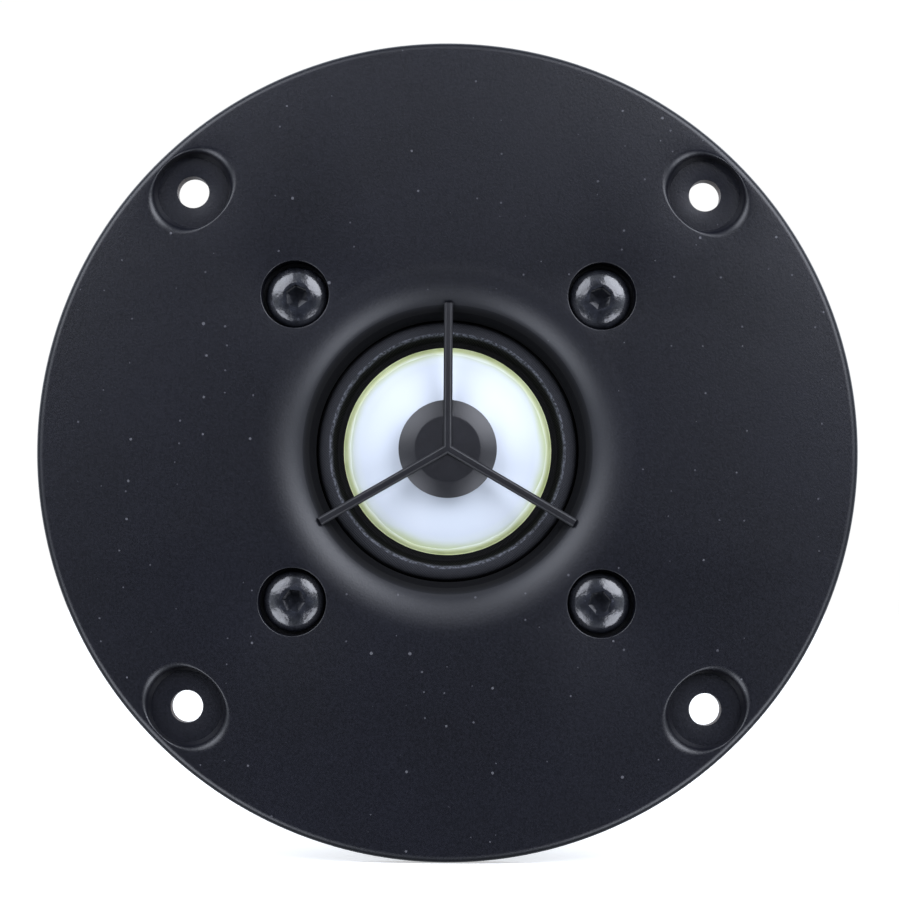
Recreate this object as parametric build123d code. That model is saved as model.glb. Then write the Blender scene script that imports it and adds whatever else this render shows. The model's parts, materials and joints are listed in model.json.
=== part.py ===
"""Round screw-on dome tweeter: faceplate with a short waveguide, guarded dome diaphragm and vented motor.

Millimetres. The front faces -Y, +Z is up and +X is to the right of someone looking at the front.
The origin is on the acoustic axis, in the plane of the flange's rear face, which seats on the baffle.
Depths are Y values: negative in front of that plane, positive behind it.
"""

from build123d import *
from math import cos, hypot, radians, sin, sqrt
import os

# Faceplate
PLATE_R = 50.0            # outside radius of the flange
PLATE_FRONT = -4.0        # front face of the flange
RIM_ROUND = 1.0           # round on the front rim
SPIGOT_R = 37.0           # rear spigot that drops into the baffle cut-out
SPIGOT_REAR = 4.0         # rear face of the spigot, where the motor is clamped
FLARE_R = 22.2            # where the waveguide starts to curve in from the front face
THROAT_R = 16.2           # waveguide throat
FLARE_END = 0.4           # depth where the flare has turned into the straight throat
CLAMP_SEAT = 1.2          # depth of the ledge that the surround is clamped against
GASKET_GROOVE = (38.0, 41.0, 1.0)  # inside radius, outside radius, depth

# Fixing holes on the rim, each in an oval dish
FIXING_PCD = 89.0
FIXING_HOLE_R = 1.95
DISH_FLOOR = -2.3
DISH_FLOOR_R = 4.35
DISH_MOUTH = (4.5, 5.65)  # half the mouth's width along the plate's radius and across it

# Assembly screws, M4 button heads that hold the faceplate on the motor
SCREW_PCD = 53.0          # counterbores and clearance holes
THREAD_PCD = 52.6         # tapped holes and screws, a little nearer the axis within the clearance
SCREW_SEAT = -0.9
SCREW_LENGTH = 8.0
SCREW_SHANK_R = 1.98
HEAD_R = 3.8
HEAD_HEIGHT = 2.2
HEAD_TOP_R = 1.6
HEAD_CROWN_R = 8.5        # the crown is part of a sphere
HEAD_EDGE_START = 3.15    # radius where the crown turns down into the rim
SCREW_TIP_CHAMFER = 0.4
HEX_ACROSS_FLATS = 2.5
HEX_DEPTH = 1.3
COUNTERBORE_R = 4.12
CLEARANCE_HOLE_R = 2.25
CORNERS = (45, 135, 225, 315)

# Guard: three ribs with a diffuser disc behind their crossing
GUARD_FRONT = -4.1
GUARD_REAR = -2.9
RIB_WIDTH = 1.1
RIB_CHAMFER = 0.25
RIB_REACH = 17.9
RIB_TIP_FRONT = -3.25     # the ribs' fronts fall from the crossing to their tips
RIB_ANGLES = (90, 210, 330)
FOOT_INNER_R = 16.9
FOOT_REAR = -1.2
DISC_R = 6.0
DISC_FLAT_R = 4.0
DISC_FRONT = -3.7
DISC_RIM_FRONT = -3.15

# Diaphragm
DOME_R = 12.65
DOME_EDGE = 1.9
DOME_HEIGHT = 3.8
DOME_WALL = 0.15
SKIRT_LENGTH = 1.0
SKIRT_WALL = 0.2
BEAD_INNER_R = 11.95
BEAD_OUTER_R = 12.6
BEAD_HEIGHT = 0.12
FORMER_R = (12.66, 12.85)  # inside and outside
FORMER_REAR = 7.9
WINDING_R = 13.3
WINDING_SPAN = (4.5, 7.5)

# Surround: one half roll between a clamped outer flange and a deeper inner flange
SURROUND_WALL = 0.25
SURROUND_OUTER_R = 18.6
ROLL_OUTER_R = 16.1
ROLL_CREST_R = 14.5
ROLL_INNER_R = 13.55
ROLL_CREST = 0.05
SURROUND_INNER_R = 12.87
CARRIER_R = (16.4, 19.0)
CARRIER_CLEARANCE = 0.1

# Motor
TOP_PLATE_R = (13.7, 32.0)
TOP_PLATE_REAR = 8.0
TAPPED_HOLE_R = 2.0
MAGNET_R = (16.0, 33.0)
MAGNET_REAR = 17.0
MAGNET_CHAMFER = 0.8
YOKE_R = 31.5
YOKE_REAR = 21.5
YOKE_CHAMFER = 1.0
POLE_R = 11.95
POLE_TOP = 4.2
VENT_R = 4.5
SHORTING_WALL = 0.3
SHORTING_REAR = 10.2
POLE_FELT_R = 11.4
POLE_FELT_T = 1.0
VENT_PLUG = (9.0, 15.0)   # front and rear faces of the felt plug in the vent

SLIP = 0.02               # clearance that keeps fitted round parts apart
OVERCUT = 1.0             # how far a cutting shape runs past the face it opens

# Rear chamber
CUP_R = 29.0
CUP_WALL = 2.0
CUP_REAR = 29.5
CUP_FLANGE_R = 30.5
CUP_FLANGE_T = 1.5
CUP_ROUND = 1.5
CUP_RECESS = (21.0, 0.5)  # radius and depth of the shallow round recess in the rear face
FOAM_GAP = 0.5
FOAM_T = 4.0

# Terminals, at the bottom edge of the spigot
BOARD_R = (33.4, 36.0)
BOARD_HALF_WIDTH = 13.0
BOARD_REAR = 8.5
TAB_X = 5.5
TAB_Z = -34.3
TAB_T = 0.8
TAB_WIDTH_POSITIVE = 4.8
TAB_WIDTH_NEGATIVE = 2.8
TAB_FRONT = 3.0
TAB_REAR = 16.5
TAB_TIP_CHAMFER = 0.7
TAB_HOLE_R = 0.65
TAB_HOLE_FROM_TIP = 3.0
POCKET_GAP = 0.2
BOARD_SCREW_ANGLES = (-107, -73)
BOARD_SCREW_HEAD = (1.25, 1.0)  # radius, height
BOARD_SCREW_SHANK_R = 0.9
BOARD_SCREW_DEPTH = 2.5         # thread length inside the spigot

# Lead wires, in grooves across the rear of the spigot
LEAD_R = 0.2
LEAD_Y = 3.3
LEAD_BEND_R = 2.5
GROOVE_WIDTH = 1.2
GROOVE_FLOOR = 2.8
LEAD_START = (2.0, -12.98)      # beside the coil former
LEAD_TURNS = ((2.2, -20.0), (5.5, -28.0))
NOTCH_WIDTH = 7.0


def turned(*edges):
    """Solid of revolution about the acoustic axis; a section point is (radius, depth)."""
    return revolve(make_face(Curve() + list(edges)), Axis.Y)


def quarter(centre, radial, axial, start):
    """Quarter ellipse of a half-section, anticlockwise from a start angle."""
    return EllipticalCenterArc(centre, radial, axial, start, arc_size=90)


def turned_polygon(*points):
    return turned(Polyline(*points, close=True))


def ring(inner_r, outer_r, front, rear):
    return turned_polygon((inner_r, front), (outer_r, front), (outer_r, rear), (inner_r, rear))


def rod(radius, front, rear, x=0.0, z=0.0):
    """Round bar along the acoustic direction."""
    return Pos(x, (front + rear) / 2, z) * Rot(90, 0, 0) * Cylinder(radius, rear - front)


def block(x_span, y_span, z_span):
    spans = (x_span, y_span, z_span)
    centre = [(a + b) / 2 for a, b in spans]
    return Pos(*centre) * Box(*[b - a for a, b in spans])


def around(shape, angle):
    """Carries a shape made on the +X side round the axis, anticlockwise from the front."""
    return Rot(0, -angle, 0) * shape


def place(radius, angle):
    return radius * cos(radians(angle)), radius * sin(radians(angle))


def make_faceplate(guard):
    flare_width = FLARE_R - THROAT_R
    flare_depth = FLARE_END - PLATE_FRONT
    recess_r = CARRIER_R[1] + CARRIER_CLEARANCE
    groove_in, groove_out, groove_depth = GASKET_GROOVE
    plate = turned(
        Line((FLARE_R, PLATE_FRONT), (PLATE_R - RIM_ROUND, PLATE_FRONT)),
        CenterArc((PLATE_R - RIM_ROUND, PLATE_FRONT + RIM_ROUND), RIM_ROUND, 270, 90),
        Polyline(
            (PLATE_R, PLATE_FRONT + RIM_ROUND),
            (PLATE_R, 0),
            (groove_out, 0),
            (groove_out, -groove_depth),
            (groove_in, -groove_depth),
            (groove_in, 0),
            (SPIGOT_R, 0),
            (SPIGOT_R, SPIGOT_REAR),
            (recess_r, SPIGOT_REAR),
            (recess_r, CLAMP_SEAT),
            (THROAT_R, CLAMP_SEAT),
            (THROAT_R, FLARE_END),
        ),
        quarter((FLARE_R, FLARE_END), flare_width, flare_depth, 180),
    )
    for angle in CORNERS:
        plate -= fixing_cut(angle)
        x, z = place(SCREW_PCD / 2, angle)
        plate -= rod(COUNTERBORE_R, PLATE_FRONT - OVERCUT, SCREW_SEAT, x, z)
        plate -= rod(CLEARANCE_HOLE_R, SCREW_SEAT - OVERCUT, SPIGOT_REAR + OVERCUT, x, z)
    for side in (-1, 1):
        plate -= lead_groove(side)
    for side, width in ((-1, TAB_WIDTH_POSITIVE), (1, TAB_WIDTH_NEGATIVE)):
        plate -= tab_pocket(side, width)
    for angle in BOARD_SCREW_ANGLES:
        x, z = place(sum(BOARD_R) / 2, angle)
        pilot_end = SPIGOT_REAR - BOARD_SCREW_DEPTH
        plate -= rod(BOARD_SCREW_SHANK_R + SLIP, pilot_end, SPIGOT_REAR + OVERCUT, x, z)
    return plate - guard


def fixing_cut(angle):
    """Through hole with an oval dish: a round floor that opens out to an oval mouth."""
    floor_plane = Plane((0, DISH_FLOOR, 0), x_dir=(1, 0, 0), z_dir=(0, -1, 0))
    mouth_plane = Plane((0, PLATE_FRONT, 0), x_dir=(1, 0, 0), z_dir=(0, -1, 0))
    dish = loft([floor_plane * Circle(DISH_FLOOR_R), mouth_plane * Ellipse(*DISH_MOUTH)])
    above = extrude(mouth_plane * Ellipse(*DISH_MOUTH), OVERCUT)
    cut = dish + above + rod(FIXING_HOLE_R, DISH_FLOOR - OVERCUT, OVERCUT)
    return around(Pos(FIXING_PCD / 2, 0, 0) * cut, angle)


def make_guard():
    guard = turned_polygon(
        (0, DISC_FRONT),
        (DISC_FLAT_R, DISC_FRONT),
        (DISC_R, DISC_RIM_FRONT),
        (DISC_R, GUARD_REAR),
        (0, GUARD_REAR),
    )
    half = RIB_WIDTH / 2
    for angle in RIB_ANGLES:
        side = Polyline(
            (0, GUARD_FRONT),
            (RIB_REACH, RIB_TIP_FRONT),
            (RIB_REACH, FOOT_REAR),
            (FOOT_INNER_R, FOOT_REAR),
            (FOOT_INNER_R, GUARD_REAR),
            (0, GUARD_REAR),
            close=True,
        )
        rib = extrude(make_face(side), half, both=True)
        front_edges = [e for e in rib.edges() if e.length > RIB_REACH and e.center().Y < GUARD_REAR]
        guard += around(chamfer(front_edges, RIB_CHAMFER), angle)
    return guard


def make_assembly_screws():
    """Button head with a domed top and a hexagon socket, on a plain shank of the thread's diameter."""
    top = SCREW_SEAT - HEAD_HEIGHT
    tip = SCREW_SEAT + SCREW_LENGTH
    crown_centre = top + sqrt(HEAD_CROWN_R**2 - HEAD_TOP_R**2)
    edge = crown_centre - sqrt(HEAD_CROWN_R**2 - HEAD_EDGE_START**2)
    slope = HEAD_EDGE_START / HEAD_CROWN_R
    edge_round = (HEAD_R - HEAD_EDGE_START) / (1 - slope)
    rim = edge + edge_round * sqrt(1 - slope**2)
    screw = turned(
        Line((0, top), (HEAD_TOP_R, top)),
        RadiusArc((HEAD_EDGE_START, edge), (HEAD_TOP_R, top), HEAD_CROWN_R),
        RadiusArc((HEAD_R, rim), (HEAD_EDGE_START, edge), edge_round),
        Polyline(
            (HEAD_R, rim),
            (HEAD_R, SCREW_SEAT),
            (SCREW_SHANK_R, SCREW_SEAT),
            (SCREW_SHANK_R, tip - SCREW_TIP_CHAMFER),
            (SCREW_SHANK_R - SCREW_TIP_CHAMFER, tip),
            (0, tip),
            (0, top),
        ),
    )
    socket_plane = Plane((0, top, 0), x_dir=(1, 0, 0), z_dir=(0, 1, 0))
    hexagon = RegularPolygon(HEX_ACROSS_FLATS / 2, 6, major_radius=False)
    screw -= extrude(socket_plane * hexagon, HEX_DEPTH)
    screws = []
    for angle in CORNERS:
        x, z = place(THREAD_PCD / 2, angle)
        screws.append(Pos(x, 0, z) * screw)
    return Compound(children=screws)


def dome_depth(radius, wall=0.0):
    """Depth of the dome's front surface, or of one a wall thickness behind it, at a radius."""
    sphere_r = (DOME_R**2 + DOME_HEIGHT**2) / (2 * DOME_HEIGHT)
    centre = DOME_EDGE - DOME_HEIGHT + sphere_r
    return centre - sqrt((sphere_r - wall) ** 2 - radius**2)


def dome_arc(r_from, r_to, wall=0.0, bulge=0.0):
    middle = (r_from + r_to) / 2
    return ThreePointArc(
        (r_from, dome_depth(r_from, wall)),
        (middle, dome_depth(middle, wall) - bulge),
        (r_to, dome_depth(r_to, wall)),
    )


def make_dome():
    inner_r = DOME_R - SKIRT_WALL
    skirt_rear = DOME_EDGE + SKIRT_LENGTH
    return turned(
        dome_arc(0, DOME_R),
        Polyline(
            (DOME_R, DOME_EDGE),
            (DOME_R, skirt_rear),
            (inner_r, skirt_rear),
            (inner_r, dome_depth(inner_r, DOME_WALL)),
        ),
        dome_arc(inner_r, 0, DOME_WALL),
        Line((0, dome_depth(0, DOME_WALL)), (0, dome_depth(0))),
    )


def make_adhesive_bead():
    underside = dome_arc(BEAD_INNER_R, BEAD_OUTER_R)
    crown = dome_arc(BEAD_OUTER_R, BEAD_INNER_R, bulge=BEAD_HEIGHT)
    return turned(underside, crown)


def make_surround():
    """Half roll of constant wall: each face is a pair of quarter ellipses that meet at the crest."""
    w = SURROUND_WALL
    outer_rise = CLAMP_SEAT - ROLL_CREST
    inner_rise = DOME_EDGE - ROLL_CREST
    front_out = ROLL_OUTER_R - ROLL_CREST_R
    front_in = ROLL_CREST_R - ROLL_INNER_R
    return turned(
        Line((SURROUND_OUTER_R, CLAMP_SEAT), (ROLL_OUTER_R, CLAMP_SEAT)),
        quarter((ROLL_CREST_R, CLAMP_SEAT), front_out, outer_rise, 270),
        quarter((ROLL_CREST_R, DOME_EDGE), front_in, inner_rise, 180),
        Polyline(
            (ROLL_INNER_R, DOME_EDGE),
            (SURROUND_INNER_R, DOME_EDGE),
            (SURROUND_INNER_R, DOME_EDGE + w),
            (ROLL_INNER_R + w, DOME_EDGE + w),
        ),
        quarter((ROLL_CREST_R, DOME_EDGE + w), front_in - w, inner_rise, 180),
        quarter((ROLL_CREST_R, CLAMP_SEAT + w), front_out - w, outer_rise, 270),
        Polyline(
            (ROLL_OUTER_R - w, CLAMP_SEAT + w),
            (SURROUND_OUTER_R, CLAMP_SEAT + w),
            (SURROUND_OUTER_R, CLAMP_SEAT),
        ),
    )


def make_carrier():
    carrier = ring(*CARRIER_R, CLAMP_SEAT + SURROUND_WALL, SPIGOT_REAR)
    half = NOTCH_WIDTH / 2
    notch = block((-half, half), (GROOVE_FLOOR, SPIGOT_REAR + OVERCUT), (-CARRIER_R[1] - OVERCUT, 0))
    return carrier - notch


def make_top_plate():
    plate = ring(*TOP_PLATE_R, SPIGOT_REAR, TOP_PLATE_REAR)
    for angle in CORNERS:
        x, z = place(THREAD_PCD / 2, angle)
        plate -= rod(TAPPED_HOLE_R, SPIGOT_REAR - OVERCUT, TOP_PLATE_REAR + OVERCUT, x, z)
    return plate


def make_magnet():
    magnet = ring(*MAGNET_R, TOP_PLATE_REAR, MAGNET_REAR)
    outer_edges = [e for e in magnet.edges().filter_by(GeomType.CIRCLE) if e.radius > MAGNET_R[1] - 1]
    return chamfer(outer_edges, MAGNET_CHAMFER)


def make_yoke():
    """Back plate and vented pole in one forging."""
    return turned_polygon(
        (VENT_R, POLE_TOP),
        (POLE_R, POLE_TOP),
        (POLE_R, MAGNET_REAR),
        (YOKE_R, MAGNET_REAR),
        (YOKE_R, YOKE_REAR - YOKE_CHAMFER),
        (YOKE_R - YOKE_CHAMFER, YOKE_REAR),
        (VENT_R, YOKE_REAR),
    )


def make_rear_cup():
    inner_r = CUP_R - CUP_WALL
    inner_rear = CUP_REAR - CUP_WALL
    flange_rear = YOKE_REAR + CUP_FLANGE_T
    recess_r, recess_depth = CUP_RECESS
    return turned(
        Polyline(
            (inner_r, YOKE_REAR),
            (CUP_FLANGE_R, YOKE_REAR),
            (CUP_FLANGE_R, flange_rear),
            (CUP_R, flange_rear),
            (CUP_R, CUP_REAR - CUP_ROUND),
        ),
        CenterArc((CUP_R - CUP_ROUND, CUP_REAR - CUP_ROUND), CUP_ROUND, 0, 90),
        Polyline(
            (CUP_R - CUP_ROUND, CUP_REAR),
            (recess_r, CUP_REAR),
            (recess_r, CUP_REAR - recess_depth),
            (0, CUP_REAR - recess_depth),
            (0, inner_rear),
            (inner_r, inner_rear),
            (inner_r, YOKE_REAR),
        ),
    )


def tab_span(side, width, gap=0.0):
    return side * TAB_X - width / 2 - gap, side * TAB_X + width / 2 + gap


def make_tab(side, width):
    """Blade terminal with a chamfered tip and a locating hole."""
    faces = (TAB_Z - TAB_T / 2, TAB_Z + TAB_T / 2)
    blade = block(tab_span(side, width), (TAB_FRONT, TAB_REAR), faces)
    tip_edges = blade.edges().filter_by(Axis.Z).sort_by(Axis.Y)[-2:]
    blade = chamfer(tip_edges, TAB_TIP_CHAMFER)
    hole = Pos(side * TAB_X, TAB_REAR - TAB_HOLE_FROM_TIP, TAB_Z) * Cylinder(TAB_HOLE_R, 2 * TAB_T)
    return blade - hole


def tab_pocket(side, width):
    """Room in the spigot's rear face for a blade's inner end and the lead that is soldered to it."""
    half = TAB_T / 2 + POCKET_GAP
    depths = (TAB_FRONT - POCKET_GAP, SPIGOT_REAR + OVERCUT)
    return block(tab_span(side, width, POCKET_GAP), depths, (TAB_Z - half, TAB_Z + half))


def make_terminal_board(tabs):
    board = ring(*BOARD_R, SPIGOT_REAR, BOARD_REAR)
    board &= block((-BOARD_HALF_WIDTH, BOARD_HALF_WIDTH), (0, BOARD_REAR + OVERCUT), (-PLATE_R, 0))
    for angle in BOARD_SCREW_ANGLES:
        x, z = place(sum(BOARD_R) / 2, angle)
        board -= rod(BOARD_SCREW_SHANK_R + SLIP, 0, BOARD_REAR + OVERCUT, x, z)
    for tab in tabs:
        board -= tab
    return board


def make_board_screws():
    head_r, head_height = BOARD_SCREW_HEAD
    screws = []
    for angle in BOARD_SCREW_ANGLES:
        x, z = place(sum(BOARD_R) / 2, angle)
        shank = rod(BOARD_SCREW_SHANK_R, SPIGOT_REAR - BOARD_SCREW_DEPTH, BOARD_REAR, x, z)
        screws.append(shank + rod(head_r, BOARD_REAR, BOARD_REAR + head_height, x, z))
    return Compound(children=screws)


def lead_points(side):
    """Route of one lead: out beside the former, across the spigot and up to its blade."""
    end = (TAB_X, TAB_Z + TAB_T / 2)
    return [(side * x, z) for x, z in (LEAD_START, *LEAD_TURNS, end)]


def make_lead(side):
    points = [(x, LEAD_Y, z) for x, z in lead_points(side)]
    route = FilletPolyline(*points, radius=LEAD_BEND_R)
    section = Plane(origin=points[0], z_dir=route % 0) * Circle(LEAD_R)
    return sweep(section, route)


def lead_groove(side):
    """Channel for a lead: a straight slot for each run, rounded at the turns."""
    points = lead_points(side)
    groove = Part()
    for (xa, za), (xb, zb) in zip(points, points[1:]):
        length = hypot(xb - xa, zb - za)
        direction = Vector(xb - xa, 0, zb - za)
        middle = ((xa + xb) / 2, GROOVE_FLOOR, (za + zb) / 2)
        slot_plane = Plane(origin=middle, x_dir=direction, z_dir=(0, 1, 0))
        slot = slot_plane * SlotCenterToCenter(length, GROOVE_WIDTH)
        groove += extrude(slot, SPIGOT_REAR + OVERCUT - GROOVE_FLOOR)
    return groove


def build_parts():
    guard = make_guard()
    tab_positive = make_tab(-1, TAB_WIDTH_POSITIVE)
    tab_negative = make_tab(1, TAB_WIDTH_NEGATIVE)
    groove_in, groove_out, groove_depth = GASKET_GROOVE
    foam_front = YOKE_REAR + FOAM_GAP
    return {
        "faceplate": make_faceplate(guard),
        "guard": guard,
        "assembly_screws": make_assembly_screws(),
        "flange_gasket": ring(groove_in + SLIP, groove_out - SLIP, -groove_depth, 0),
        "dome": make_dome(),
        "dome_edge_adhesive": make_adhesive_bead(),
        "voice_coil_former": ring(*FORMER_R, DOME_EDGE, FORMER_REAR),
        "voice_coil_winding": ring(FORMER_R[1], WINDING_R, *WINDING_SPAN),
        "surround": make_surround(),
        "surround_clamp_ring": make_carrier(),
        "top_plate": make_top_plate(),
        "magnet_ring": make_magnet(),
        "yoke": make_yoke(),
        "shorting_ring": ring(POLE_R + SLIP, POLE_R + SHORTING_WALL, POLE_TOP, SHORTING_REAR),
        "pole_felt_ring": ring(VENT_R, POLE_FELT_R, POLE_TOP - POLE_FELT_T, POLE_TOP),
        "vent_felt_plug": rod(VENT_R - SLIP, *VENT_PLUG),
        "rear_chamber_cup": make_rear_cup(),
        "rear_chamber_foam": rod(CUP_R - CUP_WALL - FOAM_GAP, foam_front, foam_front + FOAM_T),
        "terminal_board": make_terminal_board((tab_positive, tab_negative)),
        "terminal_board_screws": make_board_screws(),
        "terminal_tab_positive": tab_positive,
        "terminal_tab_negative": tab_negative,
        "lead_wire_positive": make_lead(-1),
        "lead_wire_negative": make_lead(1),
    }


os.makedirs("parts", exist_ok=True)
for name, shape in build_parts().items():
    export_step(shape, f"parts/{name}.step")
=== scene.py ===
"""Looks of the round dome tweeter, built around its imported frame.

Sizes are in millimetres until a shell becomes a Blender mesh, which is in metres. The front faces -Y,
+Z is up and the acoustic axis is the Y axis. A profile point is (radius, depth), with depth along Y.
"""

import json
from math import asin, cos, pi, radians, sin, sqrt, tan

import bmesh
import bpy
import numpy as np
from mathutils import Matrix, Vector
from mathutils.geometry import delaunay_2d_cdt


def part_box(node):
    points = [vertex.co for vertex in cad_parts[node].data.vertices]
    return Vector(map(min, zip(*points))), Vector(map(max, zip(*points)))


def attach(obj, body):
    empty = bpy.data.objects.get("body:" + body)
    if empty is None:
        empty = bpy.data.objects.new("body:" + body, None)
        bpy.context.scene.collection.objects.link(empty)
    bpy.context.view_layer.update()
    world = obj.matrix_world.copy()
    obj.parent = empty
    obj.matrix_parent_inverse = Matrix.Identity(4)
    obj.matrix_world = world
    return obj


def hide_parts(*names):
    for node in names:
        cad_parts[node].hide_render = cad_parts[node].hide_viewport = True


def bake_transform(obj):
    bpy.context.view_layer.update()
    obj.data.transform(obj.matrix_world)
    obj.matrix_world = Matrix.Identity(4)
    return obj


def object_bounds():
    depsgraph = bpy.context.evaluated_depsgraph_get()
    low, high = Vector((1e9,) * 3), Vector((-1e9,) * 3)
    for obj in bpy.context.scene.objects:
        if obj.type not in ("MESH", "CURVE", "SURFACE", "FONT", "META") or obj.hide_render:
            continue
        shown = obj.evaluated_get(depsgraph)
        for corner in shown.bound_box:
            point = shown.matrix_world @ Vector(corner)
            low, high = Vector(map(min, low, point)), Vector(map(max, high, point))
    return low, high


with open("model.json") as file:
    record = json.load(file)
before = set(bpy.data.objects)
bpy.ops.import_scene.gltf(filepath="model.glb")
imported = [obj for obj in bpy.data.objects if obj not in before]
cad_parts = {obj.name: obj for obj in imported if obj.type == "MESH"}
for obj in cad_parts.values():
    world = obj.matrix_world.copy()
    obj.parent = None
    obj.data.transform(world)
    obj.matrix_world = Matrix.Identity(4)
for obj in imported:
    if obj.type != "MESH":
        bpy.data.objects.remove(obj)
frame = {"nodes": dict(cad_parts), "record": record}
cad_low, cad_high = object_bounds()

MM = 0.001
WELD = 1e-6               # points closer than this, in metres, become one
NEAR = 1e-7               # the same for a flat patch, in millimetres
AROUND = 256              # steps of a large circle
AROUND_MIDDLE = 144       # steps of the guard's disc and the pole's felt
AROUND_SMALL = 72         # steps of a hole or a screw head


def span(node):
    """Outside radius, front depth and rear depth of a round CAD node."""
    low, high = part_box(node)
    return high.x / MM, low.y / MM, high.y / MM


PLATE_R, PLATE_FRONT, SPIGOT_REAR = span("faceplate")
DOME_R, DOME_APEX, SKIRT_REAR = span("dome")
FORMER_R, DOME_EDGE, _ = span("voice_coil_former")
SURROUND_R, ROLL_FRONT, _ = span("surround")
TOP_PLATE_R, TOP_PLATE_FRONT, TOP_PLATE_REAR = span("top_plate")
MAGNET_R, MAGNET_FRONT, MAGNET_REAR = span("magnet_ring")
YOKE_R, POLE_TOP, YOKE_REAR = span("yoke")
CUP_R, CUP_FRONT, CUP_REAR = span("rear_chamber_cup")
GASKET_R, GASKET_FRONT, GASKET_REAR = span("flange_gasket")
FOAM_R, FOAM_FRONT, FOAM_REAR = span("rear_chamber_foam")
FELT_R, FELT_FRONT, FELT_REAR = span("pole_felt_ring")
PLUG_R, PLUG_FRONT, PLUG_REAR = span("vent_felt_plug")
SCREW_TIP = span("assembly_screws")[2]
SLOTS = {s["node"]: s["material_slot"] for s in frame["record"]["subparts"]}
MOUNT_DIMS = {m["name"]: m["dims"] for m in frame["record"]["mounts"]}
FIXING_R = MOUNT_DIMS["fixing_holes"]["pcd_mm"] / 2
FIXING_HOLE_R = MOUNT_DIMS["fixing_holes"]["hole_r_mm"]
SPIGOT_R = MOUNT_DIMS["baffle_spigot"]["r_mm"]
CORNERS = (45, 135, 225, 315)

# Faceplate
RIM_ROUND = 0.9
RIM_FLAT = 0.03           # least flat width between a dish and the rim's round
RIM_STEPS = 10
REAR_EASE = 0.15          # round of the flange's rear edge
FLARE_R = 22.2
THROAT_R = 16.2
FLARE_END = 0.4
FLARE_STEPS = 28
DEEP_SHADE_STEPS = 8            # steps of the flare, from the throat out, that wear the least glossy copy of the paint: painted shade
HALF_SHADE_STEPS = 4            # steps beyond those, on a copy of middling gloss: lighter painted shade
THROAT_EASE = 0.12
CLAMP_SEAT = 1.2
RECESS_R = 19.1
DISH_FLOOR = -2.3
DISH_FLOOR_R = 4.35
DISH_MOUTH = (4.5, 5.65)  # half width along the plate's radius and across it
DISH_LIP = 0.75           # reach of the soft round at the mouth
DISH_STEPS = 12
DISH_RIM = 0.16           # least width of the soft round outside the mouth
DISH_EDGE = 0.12          # round at the hole's edge
DISH_FLAT = 0.35          # width of the floor's first step in from the wall
GROOVE_DEPTH = 1.0
GROOVE_WIDTH = 2.98
GROOVE_GAP = 0.02         # room outside the gasket
SPIGOT_EASES = (0, 0.15, 0.3, 0)
SPIGOT_LAND = 2.0         # flat at the spigot's end before the patch over its face
SCREW_R = 26.5
THREAD_R = 26.3           # the screws stand a little inside the middles of their counterbores
SCREW_SEAT = -0.9
COUNTERBORE_R = 4.12
COUNTERBORE_LIP = 0.14
CLEARANCE_R = 2.25

# Screw heads
HEAD_R = 3.8
HEAD_TOP = SCREW_SEAT - 2.2
HEAD_TOP_R = 1.62
CROWN_R = 8.5             # the crown is part of a sphere
CROWN_STEPS = 10
EDGE_START = 3.15         # radius where the crown turns down into the rim
HEX_R = 1.44
HEX_TAPER = 0.97          # the socket narrows this much towards its floor
HEX_MOUTH = (0.05, 0.10, 0.02)  # widening of the socket's mouth, its start and its end
HEX_DEPTH = 1.3
HEX_POINT = 0.35          # depth of the drill point in the socket's floor
HEAD_TURNS = (20, 17)     # degrees that the first socket is turned, and each next one beyond it
SHANK_R = 1.98
SHANK_CHAMFER = 0.4

# Guard
GUARD_FRONT = -4.1
GUARD_REAR = -2.9
RIB_HALF = 0.55
RIB_CHAMFER = (0.25, 0.20)  # width and depth of the bevels along a rib's front
RIB_REACH = 17.9
RIB_TIP_FRONT = -3.25     # the ribs' fronts fall from the crossing to their tips
RIB_EASE = 0.05
RIB_SINK = 0.02           # how far a foot's top is sunk in its rib
RIB_ANGLES = (90, 210, 330)
FOOT_INNER_R = 16.9
FOOT_REAR = -1.2
FOOT_INSET = 0.01         # a foot's sides and end stand inside the rib's by these
FOOT_SETBACK = 0.05
DISC_R = 6.0
DISC_FLAT_R = 4.0
DISC_FRONT = -3.7
DISC_RIM_FRONT = -3.15
DISC_EASES = (0, 0.12, 0.06, 0.08, 0)

# Dome, adhesive and surround
DOME_HEIGHT = DOME_EDGE - DOME_APEX
DOME_WALL = 0.15
DOME_STEPS = (48, 24)     # outside and inside
SKIRT_WALL = 0.2
SPHERE_R = (DOME_R**2 + DOME_HEIGHT**2) / (2 * DOME_HEIGHT)
FILLET_INNER_R = 12.02
FILLET_RISE = 0.09
FILLET_STEPS = 8
FILLET_WAVES = ((0.10, 3, 0.7), (0.06, 7, 2.1), (0.03, 19, 0.0))  # height, count and start
FILLET_FOOT_R = 12.1
CLOTH_WALL = 0.22
CREST_R = 14.45
ROLL_R = (13.55, 16.05)
ROLL_FOOT_R = (13.3, 16.15)
ROLL_STEPS = 16

# Motor and rear cup
TOP_PLATE_BORE_R = 13.7
MAGNET_BORE_R = 16.0
VENT_R = 4.5
POLE_R = 11.95
CUP_INNER_R = 27.0
CUP_FLANGE = 1.5          # both its reach and its thickness
CUP_FLOOR = 2.0
CUP_PANEL_R = 21.4        # shallow round panel in the cup's rear face
CUP_PANEL_DEPTH = 0.5
CUP_PANEL_SLOPE = 0.6
CUP_EASES = (0, 0.3, 0.3, 0.5, 1.5, 0.25, 0.25, 0, 0, 0.5)
GASKET_WIDTH = 2.94
FELT_BORE_R = 4.6

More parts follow.
